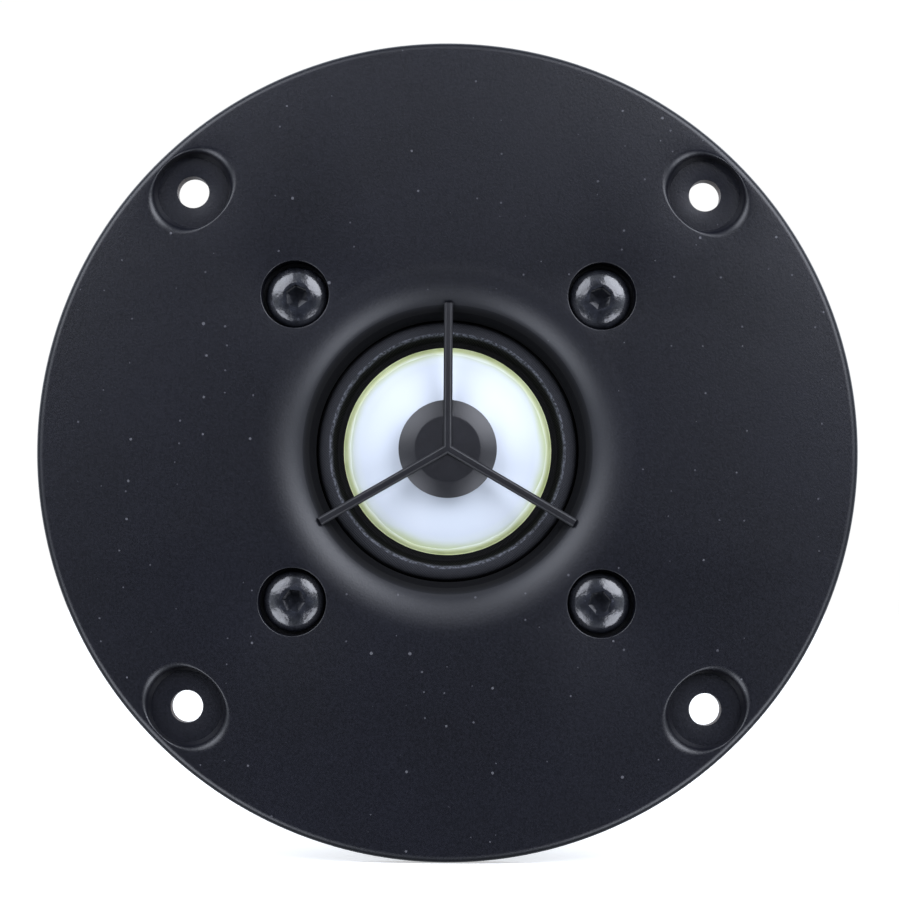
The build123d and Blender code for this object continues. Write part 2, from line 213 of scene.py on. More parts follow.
# Leads
LEAD_Y = 3.3
LEAD_R = 0.2
LEAD_ROUTE = ((2.0, -12.98), (2.2, -20.0), (5.5, -28.0), (5.5, -33.9))
LEAD_EASES = (0, 1.6, 2.0, 0)
LEAD_STEP = 0.15
LEAD_AROUND = 18
STRANDS = 6
STRAND_DEPTH = 0.1        # share of the lead's radius
LEAD_LAY = 2.4            # length of one turn of the strands
BLADE_BEVEL = 0.12


# ---------------------------------------------------------------- mesh helpers

class Shell:
    """A closed skin gathered from loops, bridges and flat patches, welded where they meet."""

    def __init__(self):
        self.points = []
        self.faces = []
        self.marked = []

    def loop(self, points):
        first = len(self.points)
        self.points.extend(points)
        return list(range(first, len(self.points)))

    def face(self, corners, mark=0):
        self.faces.append(corners)
        self.marked.append(mark)

    def bridge(self, a, b, mark=0):
        """Quads between two closed loops, or triangles where one of them is a single point."""
        count = max(len(a), len(b))
        for i in range(count):
            j = (i + 1) % count
            corners = [a[i % len(a)], a[j % len(a)], b[j % len(b)], b[i % len(b)]]
            self.face(list(dict.fromkeys(corners)), mark)

    def stack(self, loops, mark=0):
        for a, b in zip(loops, loops[1:]):
            self.bridge(a, b, mark)

    def patch(self, outer, holes=(), mark=0):
        """Fills the flat area between an outer loop and the loops of its holes."""
        used = [i for ring in (outer, *holes) for i in ring]
        flat = [Vector((self.points[i][0], self.points[i][2])) for i in used]
        runs = self._runs((outer, *holes))
        edges = [(run[k - 1], run[k]) for run in runs for k in range(len(run))]
        made, _, triangles, origins, _, _ = delaunay_2d_cdt(flat, edges, [], 0, NEAR)
        rings = [np.array([flat[k] for k in run]) for run in runs]
        for triangle in triangles:
            middle = sum((made[k] for k in triangle), Vector((0, 0))) / len(triangle)
            if inside(middle, rings[0]) and not any(inside(middle, r) for r in rings[1:]):
                self.face([used[origins[k][0]] for k in triangle], mark)

    @staticmethod
    def _runs(rings):
        runs = []
        first = 0
        for ring in rings:
            runs.append(range(first, first + len(ring)))
            first += len(ring)
        return runs

    def mesh(self, name, sharp):
        mesh = bpy.data.meshes.new(name)
        mesh.from_pydata([tuple(c * MM for c in p) for p in self.points], [], self.faces)
        mesh.polygons.foreach_set("material_index", self.marked)
        work = bmesh.new()
        work.from_mesh(mesh)
        bmesh.ops.remove_doubles(work, verts=work.verts, dist=WELD)
        bmesh.ops.recalc_face_normals(work, faces=work.faces)
        work.to_mesh(mesh)
        work.free()
        mesh.shade_smooth()
        mesh.set_sharp_from_angle(angle=radians(sharp))
        return mesh


def inside(point, ring):
    """Whether a 2D point is inside a closed ring of points."""
    x, z = point
    x0, z0 = ring[:, 0], ring[:, 1]
    x1, z1 = np.roll(x0, -1), np.roll(z0, -1)
    crosses = (z0 > z) != (z1 > z)
    reach = x0 + (z - z0) * (x1 - x0) / np.where(crosses, z1 - z0, 1.0)
    return bool(np.count_nonzero(crosses & (x < reach)) % 2)


def circle(radius, depth, count=AROUND, centre=(0.0, 0.0), twist=0.0):
    turns = [2 * pi * k / count + twist for k in range(count)]
    return [(centre[0] + radius * cos(t), depth, centre[1] + radius * sin(t)) for t in turns]


def quadratic(a, b, c, steps):
    """Points of the curve that leaves a towards b and reaches c from it."""
    shares = [k / steps for k in range(steps + 1)]
    return [
        tuple((1 - t) ** 2 * p + 2 * t * (1 - t) * q + t * t * r for p, q, r in zip(a, b, c))
        for t in shares
    ]


def towards(a, b, reach):
    length = sqrt(sum((q - p) ** 2 for p, q in zip(a, b)))
    share = min(reach / length, 0.5)
    return tuple(p + (q - p) * share for p, q in zip(a, b))


def eased(corners, reach, steps=4, closed=True):
    """A profile with each corner rounded over the same reach, or over its own where reach is a list."""
    reaches = reach if isinstance(reach, (list, tuple)) else [reach] * len(corners)
    made = []
    for k, corner in enumerate(corners):
        end = not closed and k in (0, len(corners) - 1)
        if end or reaches[k] == 0:
            made.append(corner)
            continue
        before = towards(corner, corners[k - 1], reaches[k])
        after = towards(corner, corners[(k + 1) % len(corners)], reaches[k])
        made += quadratic(before, corner, after, steps)
    return made


def turned(profile, count=AROUND, closed=True):
    """Shell of revolution about the acoustic axis."""
    shell = Shell()
    loops = [shell.loop(circle(r, y, count) if r else [(0.0, y, 0.0)]) for r, y in profile]
    shell.stack(loops)
    if closed:
        shell.bridge(loops[-1], loops[0])
    return shell


def turned_ring(inner, outer, front, rear, ease, count=AROUND, steps=4):
    corners = [(inner, front), (outer, front), (outer, rear), (inner, rear)]
    return turned(eased(corners, ease, steps), count)


def place(radius, angle):
    return radius * cos(radians(angle)), radius * sin(radians(angle))


def piece(name, shell, body, node, sharp=32, extra=()):
    """Makes the shell a Blender object that stands for a CAD node and wears its slot's finish."""
    obj = bpy.data.objects.new(name, shell.mesh(name, sharp))
    bpy.context.scene.collection.objects.link(obj)
    for finish in (SLOTS[node], *extra):
        obj.data.materials.append(FINISHES[finish])
    if body is not None:
        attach(obj, body)
    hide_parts(node)
    return obj


# ---------------------------------------------------------------- material helpers

SQUARE_TO_AXIS = 0.8       # least share of a normal along the axis on a level surface


class Finish:
    """A Principled material with short calls for the nodes that every finish here is made of."""

    def __init__(self, name, **sockets):
        self.material = bpy.data.materials.new(name)
        self.material.use_nodes = True
        self.tree = self.material.node_tree
        self.shader = self.tree.nodes["Principled BSDF"]
        self.place = self.node("ShaderNodeTexCoord").outputs["Object"]
        self.height = None
        for socket, value in sockets.items():
            self.shader.inputs[socket.replace("_", " ")].default_value = value

    def node(self, kind, **settings):
        made = self.tree.nodes.new(kind)
        for key, value in settings.items():
            setattr(made, key, value)
        return made

    def wire(self, source, socket):
        self.tree.links.new(source, socket)

    def noise(self, size, detail=2.0, roughness=0.5, stretch=(1, 1, 1)):
        """Noise from 0 to 1 whose grains are about size millimetres across."""
        spread = self.node("ShaderNodeMapping")
        spread.inputs["Scale"].default_value = [s / (size * MM) for s in stretch]
        self.wire(self.place, spread.inputs["Vector"])
        made = self.node("ShaderNodeTexNoise")
        made.inputs["Scale"].default_value = 1.0
        made.inputs["Detail"].default_value = detail
        made.inputs["Roughness"].default_value = roughness
        self.wire(spread.outputs["Vector"], made.inputs["Vector"])
        return made.outputs["Fac"]

    def ramp(self, source, *stops):
        """Colour by value; each stop is (value, colour)."""
        made = self.node("ShaderNodeValToRGB")
        elements = made.color_ramp.elements
        for element, (value, colour) in zip(elements, stops):
            element.position = value
            element.color = (*colour, 1)
        self.wire(source, made.inputs["Fac"])
        return made.outputs["Color"]

    def tones(self, source, dark, light):
        """From dark to light over the middle of a noise's range."""
        return self.ramp(source, (0.3, dark), (0.7, light))

    def math(self, operation, a, b=0.0):
        made = self.node("ShaderNodeMath", operation=operation)
        for socket, value in zip(made.inputs, (a, b)):
            if isinstance(value, (int, float)):
                socket.default_value = value
            else:
                self.wire(value, socket)
        return made.outputs["Value"]

    def mix(self, share, a, b):
        made = self.node("ShaderNodeMix", data_type="RGBA")
        colours = [s for s in made.inputs if s.type == "RGBA"]
        for socket, value in zip((made.inputs["Factor"], *colours), (share, a, b)):
            if isinstance(value, (int, float)):
                socket.default_value = value
            elif isinstance(value, (tuple, list)):
                socket.default_value = (*value, 1)
            else:
                self.wire(value, socket)
        return next(s for s in made.outputs if s.type == "RGBA")

    def axes(self):
        parts = self.node("ShaderNodeSeparateXYZ")
        self.wire(self.place, parts.inputs["Vector"])
        return parts.outputs["X"], parts.outputs["Y"], parts.outputs["Z"]

    def radius(self):
        """Distance from the acoustic axis, in millimetres."""
        x, _, z = self.axes()
        square = self.math("ADD", self.math("MULTIPLY", x, x), self.math("MULTIPLY", z, z))
        return self.math("MULTIPLY", self.math("SQRT", square), 1 / MM)

    def between(self, value, low, high):
        """0 at low, 1 at high, smooth between."""
        made = self.node("ShaderNodeMapRange", interpolation_type="SMOOTHSTEP")
        made.inputs["From Min"].default_value = low
        made.inputs["From Max"].default_value = high
        self.wire(value, made.inputs["Value"])
        return made.outputs["Result"]

    def specks(self, size, spacing, share, offset=(0, 0, 0), flat=False):
        """Mask of small scattered spots in about that share of a grid's cells; flat ones lie in X and Z."""
        spread = self.node("ShaderNodeMapping")
        spread.inputs["Scale"].default_value = [1 / (spacing * MM)] * 3
        spread.inputs["Location"].default_value = offset
        if flat:
            spread.inputs["Rotation"].default_value = (radians(90), 0, 0)
        self.wire(self.place, spread.inputs["Vector"])
        cells = self.node("ShaderNodeTexVoronoi", voronoi_dimensions="2D" if flat else "3D")
        cells.inputs["Scale"].default_value = 1.0
        self.wire(spread.outputs["Vector"], cells.inputs["Vector"])
        parts = self.node("ShaderNodeSeparateColor")
        self.wire(cells.outputs["Color"], parts.inputs["Color"])
        chosen = self.math("LESS_THAN", parts.outputs["Red"], share)
        reach = self.math("MULTIPLY", parts.outputs["Green"], size / spacing)
        near = self.math("LESS_THAN", cells.outputs["Distance"], reach)
        return self.math("MULTIPLY", chosen, near)

    def facing(self):
        """1 on surfaces that lie square to the acoustic axis, 0 on walls."""
        normal = self.node("ShaderNodeTexCoord").outputs["Normal"]
        parts = self.node("ShaderNodeSeparateXYZ")
        self.wire(normal, parts.inputs["Vector"])
        return self.math("GREATER_THAN", self.math("ABSOLUTE", parts.outputs["Y"]), SQUARE_TO_AXIS)

    def bump(self, height, depth, strength=1.0):
        """Adds a bump whose full height is depth millimetres."""
        made = self.node("ShaderNodeBump")
        made.inputs["Distance"].default_value = depth * MM
        made.inputs["Strength"].default_value = strength
        self.wire(height, made.inputs["Height"])
        if self.height is not None:
            self.wire(self.height, made.inputs["Normal"])
        self.height = made.outputs["Normal"]
        self.wire(self.height, self.shader.inputs["Normal"])

    def colour(self, source):
        self.wire(source, self.shader.inputs["Base Color"])

    def roughness(self, source, low, high):
        spread = self.node("ShaderNodeMapRange")
        spread.inputs["To Min"].default_value = low
        spread.inputs["To Max"].default_value = high
        self.wire(source, spread.inputs["Value"])
        self.wire(spread.outputs["Result"], self.shader.inputs["Roughness"])


# ---------------------------------------------------------------- finishes

PLATE_DUST = (             # size, spacing, share of cells, offset, strength and colour
    (0.20, 5.0, 0.30, (0, 0, 0), 0.42, (0.20, 0.20, 0.22)),
    (0.15, 3.0, 0.28, (3.1, 1.9, 0.7), 0.38, (0.15, 0.15, 0.17)),
)


def plate_paint(name, gloss):
    """Satin black paint: fine grain, faint blue cast, a few specks of dust, and painted shade that turns it
    near black towards the throat.
    """
    finish = Finish(name, Specular_IOR_Level=gloss)
    fine = finish.noise(0.28, 3.0, 0.6)
    broad = finish.noise(14.0, 2.0, 0.5)
    grain = finish.tones(fine, (0.0022, 0.0025, 0.0042), (0.0075, 0.0081, 0.0145))
    tone = finish.tones(broad, (0.0032, 0.0035, 0.0065), (0.0056, 0.0061, 0.0115))
    base = finish.mix(0.5, grain, tone)
    radius = finish.radius()
    # painted shade: towards the throat the colour turns near black; the same mask makes the paint rougher
    # there
    throat = finish.between(radius, THROAT_R + 2.1, THROAT_R + 0.9)
    flat = finish.between(radius, FLARE_R - 1.5, FLARE_R + 1.2)
    base = finish.mix(finish.math("MULTIPLY", throat, 0.85), base, (0.0004, 0.0004, 0.0005))
    level = finish.facing()
    for size, spacing, share, offset, strength, colour in PLATE_DUST:
        spots = finish.math("MULTIPLY", finish.specks(size, spacing, share, offset, flat=True), level)
        base = finish.mix(finish.math("MULTIPLY", spots, strength), base, colour)
    finish.colour(base)
    texture = finish.math("ADD", finish.math("MULTIPLY", fine, 0.12), 0.36)
    smoother = finish.math("MULTIPLY", flat, 0.075)
    rougher = finish.math("MULTIPLY", throat, 0.52)
    finish.roughness(finish.math("ADD", finish.math("SUBTRACT", texture, smoother), rougher), 0.0, 1.0)
    finish.bump(fine, 0.03, 0.45)
    return finish.material


def bare_edge():
    """Wall of the fixing holes, where the drilling has gone through the paint."""
    finish = Finish("drilled_edge", Specular_IOR_Level=0.4)
    scratch = finish.noise(0.3, 3.0, 0.6, (1, 4, 1))
    finish.colour(finish.tones(scratch, (0.030, 0.016, 0.009), (0.10, 0.052, 0.027)))
    finish.roughness(scratch, 0.35, 0.6)
    finish.bump(scratch, 0.02, 0.4)
    return finish.material


def moulded_plastic(name, dark, light, grain, rough):
    """Moulded plastic with a fine spark-eroded grain."""
    finish = Finish(name, Specular_IOR_Level=0.55)
    fine = finish.noise(grain, 3.0, 0.55)
    broad = finish.noise(grain * 22, 2.0, 0.5)
    finish.colour(finish.mix(0.6, finish.tones(fine, dark, light), finish.tones(broad, dark, light)))
    finish.roughness(fine, rough - 0.07, rough + 0.07)
    finish.bump(fine, grain * 0.08, 0.4)
    return finish.material


def black_screw(name, gloss):
    """Black oxide over a forged head, with shallow dimples and worn spots."""
    finish = Finish(name, Specular_IOR_Level=gloss, IOR=1.75)
    forged = finish.noise(0.7, 2.0, 0.5)
    fine = finish.noise(0.16, 3.0, 0.6)
    worn = finish.specks(0.3, 0.8, 0.22)
    base = finish.tones(forged, (0.010, 0.011, 0.015), (0.024, 0.026, 0.034))
    finish.colour(finish.mix(finish.math("MULTIPLY", worn, 0.3), base, (0.10, 0.10, 0.12)))
    finish.roughness(fine, 0.10, 0.24)
    finish.bump(forged, 0.06, 0.5)
    finish.bump(fine, 0.004, 0.4)
    return finish.material


def dome_white():
    """Smooth satin white shell, greyer near its edge as painted shade; the adhesive tints its edge."""
    finish = Finish("dome_satin_white", Specular_IOR_Level=0.35)
    radius = finish.radius()
    wander = finish.noise(7.0, 2.0, 0.5)
    shifted = finish.math("ADD", radius, finish.math("MULTIPLY", wander, 1.4))
    soft = finish.noise(9.0, 2.0, 0.5)
    white = finish.tones(soft, (0.60, 0.65, 0.72), (0.645, 0.69, 0.76))
    # painted shade: the white turns greyer in a band near the dome's edge
    shade = finish.mix(finish.between(radius, 10.4, 11.3), white, (0.65, 0.70, 0.72))
    finish.colour(finish.mix(finish.between(shifted, 11.9, 13.1), shade, (0.56, 0.63, 0.38)))
    fine = finish.noise(0.35, 2.0, 0.5)
    finish.roughness(fine, 0.34, 0.46)
    finish.bump(fine, 0.006, 0.25)
    return finish.material


def edge_adhesive():
    """Cured yellow-green adhesive, glossy and uneven."""
    finish = Finish("cured_adhesive", Specular_IOR_Level=0.25)
    flow = finish.noise(2.6, 3.0, 0.55)
    body = finish.tones(flow, (0.43, 0.48, 0.22), (0.56, 0.61, 0.35))
    spread = finish.math("ADD", finish.radius(), finish.math("MULTIPLY", flow, 0.5))
    finish.colour(finish.mix(finish.between(spread, 12.1, 12.75), (0.70, 0.75, 0.68), body))
    finish.roughness(flow, 0.34, 0.5)
    finish.bump(flow, 0.04, 0.4)
    return finish.material


def woven_cloth(name, pitch, dark, light, gloss):
    """Coated cloth: a plain weave along X and Z, with a painted highlight in dots along the crest and
    painted shade, near black, on either side of the roll.
    """
    finish = Finish(name, Specular_IOR_Level=gloss)
    x, _, z = finish.axes()
    warp, weft = (finish.math("SINE", finish.math("MULTIPLY", a, 2 * pi / (pitch * MM))) for a in (x, z))
    over = finish.math("MULTIPLY", warp, weft)
    weave = finish.math("ADD", finish.math("MULTIPLY", over, 0.5), 0.5)
    uneven = finish.noise(0.9, 2.0, 0.6)
    threads = finish.math("MULTIPLY", weave, finish.math("ADD", uneven, 0.45))
    radius = finish.math("ADD", finish.radius(), finish.math("MULTIPLY", finish.noise(2.2), 0.25))
    inner = finish.between(radius, 14.15, 14.5)
    # painted shade: roll is 1 on the band round the crest; beside it, inside and outside the roll, the
    # cloth is painted near black
    roll = finish.math("MULTIPLY", inner, finish.between(radius, 16.3, 15.7))
    crest = finish.math("MULTIPLY", inner, finish.between(radius, 14.75, 14.6))
    cloth = finish.mix(0.6, finish.ramp(threads, (0.1, dark), (0.85, light)), light)
    # painted highlight: the crest is lit up in dots like rubbed threads
    dots = finish.noise(0.30, 1.0, 0.4)
    crest_highlight = finish.ramp(dots, (0.40, light), (0.60, [4.4 * c for c in light]))
    cloth = finish.mix(finish.math("MULTIPLY", crest, 0.9), cloth, crest_highlight)
    finish.colour(finish.mix(roll, (0.0008, 0.0008, 0.0010), cloth))
    finish.roughness(threads, 0.72, 0.50)
    finish.bump(threads, 0.07, 0.8)
    return finish.material


def foam(name, dark, light, cell):
    finish = Finish(name, Specular_IOR_Level=0.25)
    cells = finish.noise(cell, 3.0, 0.65)
    finish.colour(finish.ramp(cells, (0.35, dark), (0.65, light)))
    finish.roughness(cells, 0.8, 0.95)
    finish.bump(cells, cell * 0.35, 0.8)
    return finish.material


def turned_steel():
    """Black-plated steel with the fine rings of a lathe."""
    finish = Finish("black_plated_steel", Metallic=0.85)
    y = finish.axes()[1]
    radius = finish.radius()
    rings = finish.math("SINE", finish.math("MULTIPLY", radius, 2 * pi / 0.23))
    bands = finish.math("SINE", finish.math("MULTIPLY", y, 2 * pi / (0.21 * MM)))
    tooling = finish.math("MULTIPLY", finish.math("ADD", rings, bands), 0.25)
    wear = finish.noise(3.0, 4.0, 0.65)
    finish.colour(finish.ramp(wear, (0.3, (0.085, 0.086, 0.092)), (0.75, (0.125, 0.126, 0.132))))
    finish.roughness(wear, 0.30, 0.48)
    finish.bump(tooling, 0.012, 0.5)
    return finish.material


def ground_ferrite():
    """Dark grey sintered ferrite: matt pressed wall, tiny chips, faint grinding."""
    finish = Finish("ground_ferrite", Specular_IOR_Level=0.5)
    grain = finish.noise(0.5, 4.0, 0.7)
    cloud = finish.noise(11.0, 2.0, 0.5)
    chips = finish.specks(0.5, 2.6, 0.18)
    base = finish.mix(0.5, finish.tones(grain, (0.026, 0.026, 0.029), (0.052, 0.052, 0.056)),
                      finish.tones(cloud, (0.028, 0.028, 0.031), (0.058, 0.057, 0.060)))
    finish.colour(finish.mix(finish.math("MULTIPLY", chips, 0.5), base, (0.012, 0.012, 0.013)))
    finish.roughness(grain, 0.45, 0.7)
    finish.bump(grain, 0.04, 0.5)
    return finish.material


def metal(name, dark, light, size, rough, stretch=(1, 1, 1)):
    """Bare or plated metal with stains and drawn scratches."""
    finish = Finish(name, Metallic=1.0)
    stain = finish.noise(size, 3.0, 0.6, stretch)
    finish.colour(finish.tones(stain, dark, light))
    finish.roughness(stain, rough, rough + 0.16)
    finish.bump(stain, 0.01, 0.35)
    return finish.material


def pressed_felt(name, dark, light):
    finish = Finish(name, Specular_IOR_Level=0.1)
    finish.shader.inputs["Sheen Weight"].default_value = 0.6
    fibres = finish.noise(0.35, 5.0, 0.75, (1, 0.4, 1))
    finish.colour(finish.tones(fibres, dark, light))
    finish.roughness(fibres, 0.85, 1.0)
    finish.bump(fibres, 0.15, 0.9)
    return finish.material


FINISHES = {
    "satin_black_plate": plate_paint("satin_black_paint", 0.50),
    # less glossy copies of the plate's paint, for painted shade in the throat
    "throat_mouth": plate_paint("half_shaded_mouth_paint", 0.30),
    "throat_wall": plate_paint("shaded_throat_paint", 0.16),
    "bare_edge": bare_edge(),
    "guard_black": moulded_plastic(
        "guard_plastic", (0.006, 0.006, 0.008), (0.013, 0.013, 0.017), 0.18, 0.36),
    "black_screw": black_screw("black_oxide", 0.5),
    # a less glossy copy of the oxide for the hex socket: painted shade in the hollow
    "screw_socket": black_screw("shaded_socket_oxide", 0.16),
    "gasket_foam": foam("gasket_foam", (0.010, 0.010, 0.010), (0.030, 0.030, 0.031), 0.35),
    "dome_white": dome_white(),
    "edge_adhesive": edge_adhesive(),
    "coil_former": metal("former_foil", (0.60, 0.55, 0.42), (0.80, 0.75, 0.62), 2.0, 0.30),
    "copper": metal("copper_wire", (0.62, 0.26, 0.12), (0.85, 0.42, 0.22), 0.6, 0.28),
    "surround_cloth": woven_cloth(
        "coated_cloth", 0.32, (0.004, 0.004, 0.005), (0.028, 0.029, 0.034), 0.12),
    "black_moulding": moulded_plastic(
        "black_moulding", (0.011, 0.011, 0.012), (0.020, 0.020, 0.021), 0.30, 0.46),
    "black_zinc_steel": turned_steel(),
    "ferrite": ground_ferrite(),
    "felt": pressed_felt("grey_felt", (0.10, 0.10, 0.105), (0.30, 0.30, 0.31)),
    "damping_foam": foam("open_foam", (0.012, 0.012, 0.013), (0.060, 0.060, 0.062), 0.8),
    "tinned_brass": metal("tinned_brass", (0.62, 0.55, 0.38), (0.84, 0.78, 0.62), 1.6, 0.22, (1, 0.3, 1)),
}


# ---------------------------------------------------------------- faceplate

def oval_loops(centre_angle, profile):
    """Loops about a fixing hole; profile gives the (radius, depth) points for a direction."""
    cx, cz = place(FIXING_R, centre_angle)
    turns = [2 * pi * k / AROUND_SMALL for k in range(AROUND_SMALL)]
    columns = [profile(t) for t in turns]
    loops = []
    for level in zip(*columns):
        points = []
        for t, (reach, depth) in zip(turns, level):
            angle = t + radians(centre_angle)
            points.append((cx + reach * cos(angle), depth, cz + reach * sin(angle)))
        loops.append(points)
    return loops


def dish_profile(turn):
    """Mouth to floor of a dish: an oval mouth with a soft lip, a round floor, then the hole's edge."""
    along, across = DISH_MOUTH
    mouth = along * across / sqrt((across * cos(turn)) ** 2 + (along * sin(turn)) ** 2)
    lip = DISH_LIP * (mouth - DISH_FLOOR_R) / (across - DISH_FLOOR_R)
    limit = PLATE_R - RIM_ROUND - RIM_FLAT
    room = sqrt(limit**2 - (FIXING_R * sin(turn)) ** 2) - FIXING_R * cos(turn)
    outer = min(mouth + DISH_RIM + 0.5 * lip, room)
    top = (mouth - 0.7 * lip, PLATE_FRONT)
    foot = (DISH_FLOOR_R, DISH_FLOOR)
    rounded = quadratic((outer, PLATE_FRONT), top, towards(top, foot, 0.25 + 1.6 * lip), DISH_STEPS)
    settled = [foot, (DISH_FLOOR_R - DISH_FLAT, DISH_FLOOR)]
    edge = quadratic((FIXING_HOLE_R + DISH_EDGE, DISH_FLOOR), (FIXING_HOLE_R, DISH_FLOOR),
                     (FIXING_HOLE_R, DISH_FLOOR + DISH_EDGE), 3)
    return rounded + settled + edge


def quarter(steps):
    """Angles of a quarter turn."""
    return [radians(90) * k / steps for k in range(steps + 1)]


def make_faceplate():
    shell = Shell()
    flare = [
        (FLARE_R - (FLARE_R - THROAT_R) * cos(t), FLARE_END - (FLARE_END - PLATE_FRONT) * sin(t))
        for t in quarter(FLARE_STEPS)
    ]
    throat = eased([(RECESS_R, CLAMP_SEAT), (THROAT_R, CLAMP_SEAT), flare[0]], THROAT_EASE, closed=False)
    inner = [shell.loop(circle(r, y)) for r, y in throat + flare[1:]]
    deep = len(throat) + DEEP_SHADE_STEPS
    mouth = deep + HALF_SHADE_STEPS
    # the throat's steps wear the less glossy copies of the paint: painted shade
    shell.stack(inner[:deep + 1], mark=3)
    shell.stack(inner[deep:mouth + 1], mark=2)
    shell.stack(inner[mouth:])

    rim = [
        (PLATE_R - RIM_ROUND + RIM_ROUND * sin(t), PLATE_FRONT + RIM_ROUND - RIM_ROUND * cos(t))
        for t in quarter(RIM_STEPS)
    ]
    side = eased([rim[-1], (PLATE_R, 0.0), (PLATE_R - 1, 0.0)], REAR_EASE, closed=False)
    outer = [shell.loop(circle(r, y)) for r, y in rim + side[1:]]
    shell.stack(outer)

    front_holes = []
    rear_holes = []
    for angle in CORNERS:
        loops = [shell.loop(points) for points in oval_loops(angle, dish_profile)]
        shell.stack(loops)
        walls = shell.loop([(x, 0.0, z) for x, _, z in (shell.points[i] for i in loops[-1])])
        shell.bridge(loops[-1], walls, mark=1)
        front_holes.append(loops[0])
        rear_holes.append(walls)

    clearance_holes = []
    for angle in CORNERS:
        centre = place(SCREW_R, angle)
        lip = quadratic((COUNTERBORE_R + COUNTERBORE_LIP, PLATE_FRONT), (COUNTERBORE_R, PLATE_FRONT),
                        (COUNTERBORE_R, PLATE_FRONT + COUNTERBORE_LIP), 4)
        floor = [(COUNTERBORE_R, SCREW_SEAT), (CLEARANCE_R, SCREW_SEAT), (CLEARANCE_R, SPIGOT_REAR)]
        loops = [shell.loop(circle(r, y, AROUND_SMALL, centre)) for r, y in lip + floor]
        shell.stack(loops)
        front_holes.append(loops[0])
        clearance_holes.append(loops[-1])

    shell.patch(outer[0], [inner[-1], *front_holes])

    groove_out = GASKET_R + GROOVE_GAP
    groove_in = groove_out - GROOVE_WIDTH
    behind = [(groove_out, 0.0), (groove_out, -GROOVE_DEPTH), (groove_in, -GROOVE_DEPTH), (groove_in, 0.0)]
    land = (SPIGOT_R - SPIGOT_LAND, SPIGOT_REAR)
    spigot = eased([(groove_in, 0.0), (SPIGOT_R, 0.0), (SPIGOT_R, SPIGOT_REAR), land],
                   SPIGOT_EASES, closed=False)
    back = [shell.loop(circle(r, y)) for r, y in behind + spigot[1:]]
    shell.stack(back)
    shell.patch(outer[-1], [back[0], *rear_holes])
    recess = shell.loop(circle(RECESS_R, SPIGOT_REAR))
    shell.bridge(inner[0], recess)
    shell.patch(back[-1], [recess, *clearance_holes])
    piece("faceplate_shell", shell, "housing", "faceplate",
          extra=("bare_edge", "throat_mouth", "throat_wall"))


# ---------------------------------------------------------------- guard

def make_guard():
    """Three ribs mitred where they meet, over a disc with a bevelled rim."""
    disc = [(0, DISC_FRONT), (DISC_FLAT_R, DISC_FRONT), (DISC_R, DISC_RIM_FRONT), (DISC_R, GUARD_REAR),
            (0, GUARD_REAR)]
    shell = turned(eased(disc, DISC_EASES, 3), AROUND_MIDDLE, closed=False)
    bevel, drop = RIB_CHAMFER
    edge = eased([(RIB_HALF, GUARD_REAR), (RIB_HALF, GUARD_FRONT + drop), (RIB_HALF - bevel, GUARD_FRONT),
                  (0.0, GUARD_FRONT)], RIB_EASE, 3, closed=False)
    section = [(-offset, depth) for offset, depth in edge] + edge[-2::-1]
    mitre = 1 / tan(radians(60))
    for angle in RIB_ANGLES:
        ux, uz = place(1.0, angle)
        vx, vz = -uz, ux
        near = []
        far = []
        for offset, depth in section:
            start = abs(offset) * mitre
            near.append((start * ux + offset * vx, depth, start * uz + offset * vz))
            tip = depth
            if depth < GUARD_REAR:
                tip = min(depth + RIB_TIP_FRONT - GUARD_FRONT, GUARD_REAR - RIB_SINK)
            far.append((RIB_REACH * ux + offset * vx, tip, RIB_REACH * uz + offset * vz))
        a = shell.loop(near)
        b = shell.loop(far)
        for k in range(len(section) - 1):
            shell.face([a[k], a[k + 1], b[k + 1], b[k]])
        shell.face([a[0], b[0], b[-1], a[-1]])
        shell.face(b)
        foot_box(shell, (ux, uz), (vx, vz))
    piece("guard_ribs_and_disc", shell, "housing", "guard", 20)


def foot_box(shell, along, across):
    """The rib's foot, let into the flare; its top is sunk in the rib."""
    half = RIB_HALF - FOOT_INSET
    corners = []
    for reach in (FOOT_INNER_R, RIB_REACH - FOOT_SETBACK):
        for depth in (GUARD_REAR - RIB_SINK, FOOT_REAR):
            for side in (-half, half):
                corners.append((reach * along[0] + side * across[0], depth,
                                reach * along[1] + side * across[1]))
    at = shell.loop(corners)
    for quad in ((0, 1, 3, 2), (4, 6, 7, 5), (0, 4, 5, 1), (2, 3, 7, 6), (0, 2, 6, 4), (1, 5, 7, 3)):
        shell.face([at[k] for k in quad])


# ---------------------------------------------------------------- screws

def crown(steps):
    """Spherical crown of the button head, and the round that turns it down into the straight rim."""
    centre = HEAD_TOP + sqrt(CROWN_R**2 - HEAD_TOP_R**2)
    radii = [HEAD_TOP_R + (EDGE_START - HEAD_TOP_R) * k / steps for k in range(steps + 1)]
    arc = [(r, centre - sqrt(CROWN_R**2 - r**2)) for r in radii]
    slope = asin(EDGE_START / CROWN_R)
    edge_round = (HEAD_R - EDGE_START) / (1 - sin(slope))
    centre_depth = arc[-1][1] + edge_round * cos(slope)
    for k in range(1, steps + 1):
        turn = slope + (pi / 2 - slope) * k / steps
        arc.append((HEAD_R - edge_round + edge_round * sin(turn), centre_depth - edge_round * cos(turn)))
    return arc


def hexagon(radius, depth, centre, twist):
    """Loop on a hexagon with as many points as a small circle."""
    points = []
    for k in range(AROUND_SMALL):
        turn = 2 * pi * k / AROUND_SMALL
        corner = (turn % (pi / 3)) - pi / 6
        reach = radius * cos(pi / 6) / cos(corner)
        points.append((centre[0] + reach * cos(turn + twist), depth, centre[1] + reach * sin(turn + twist)))
    return points


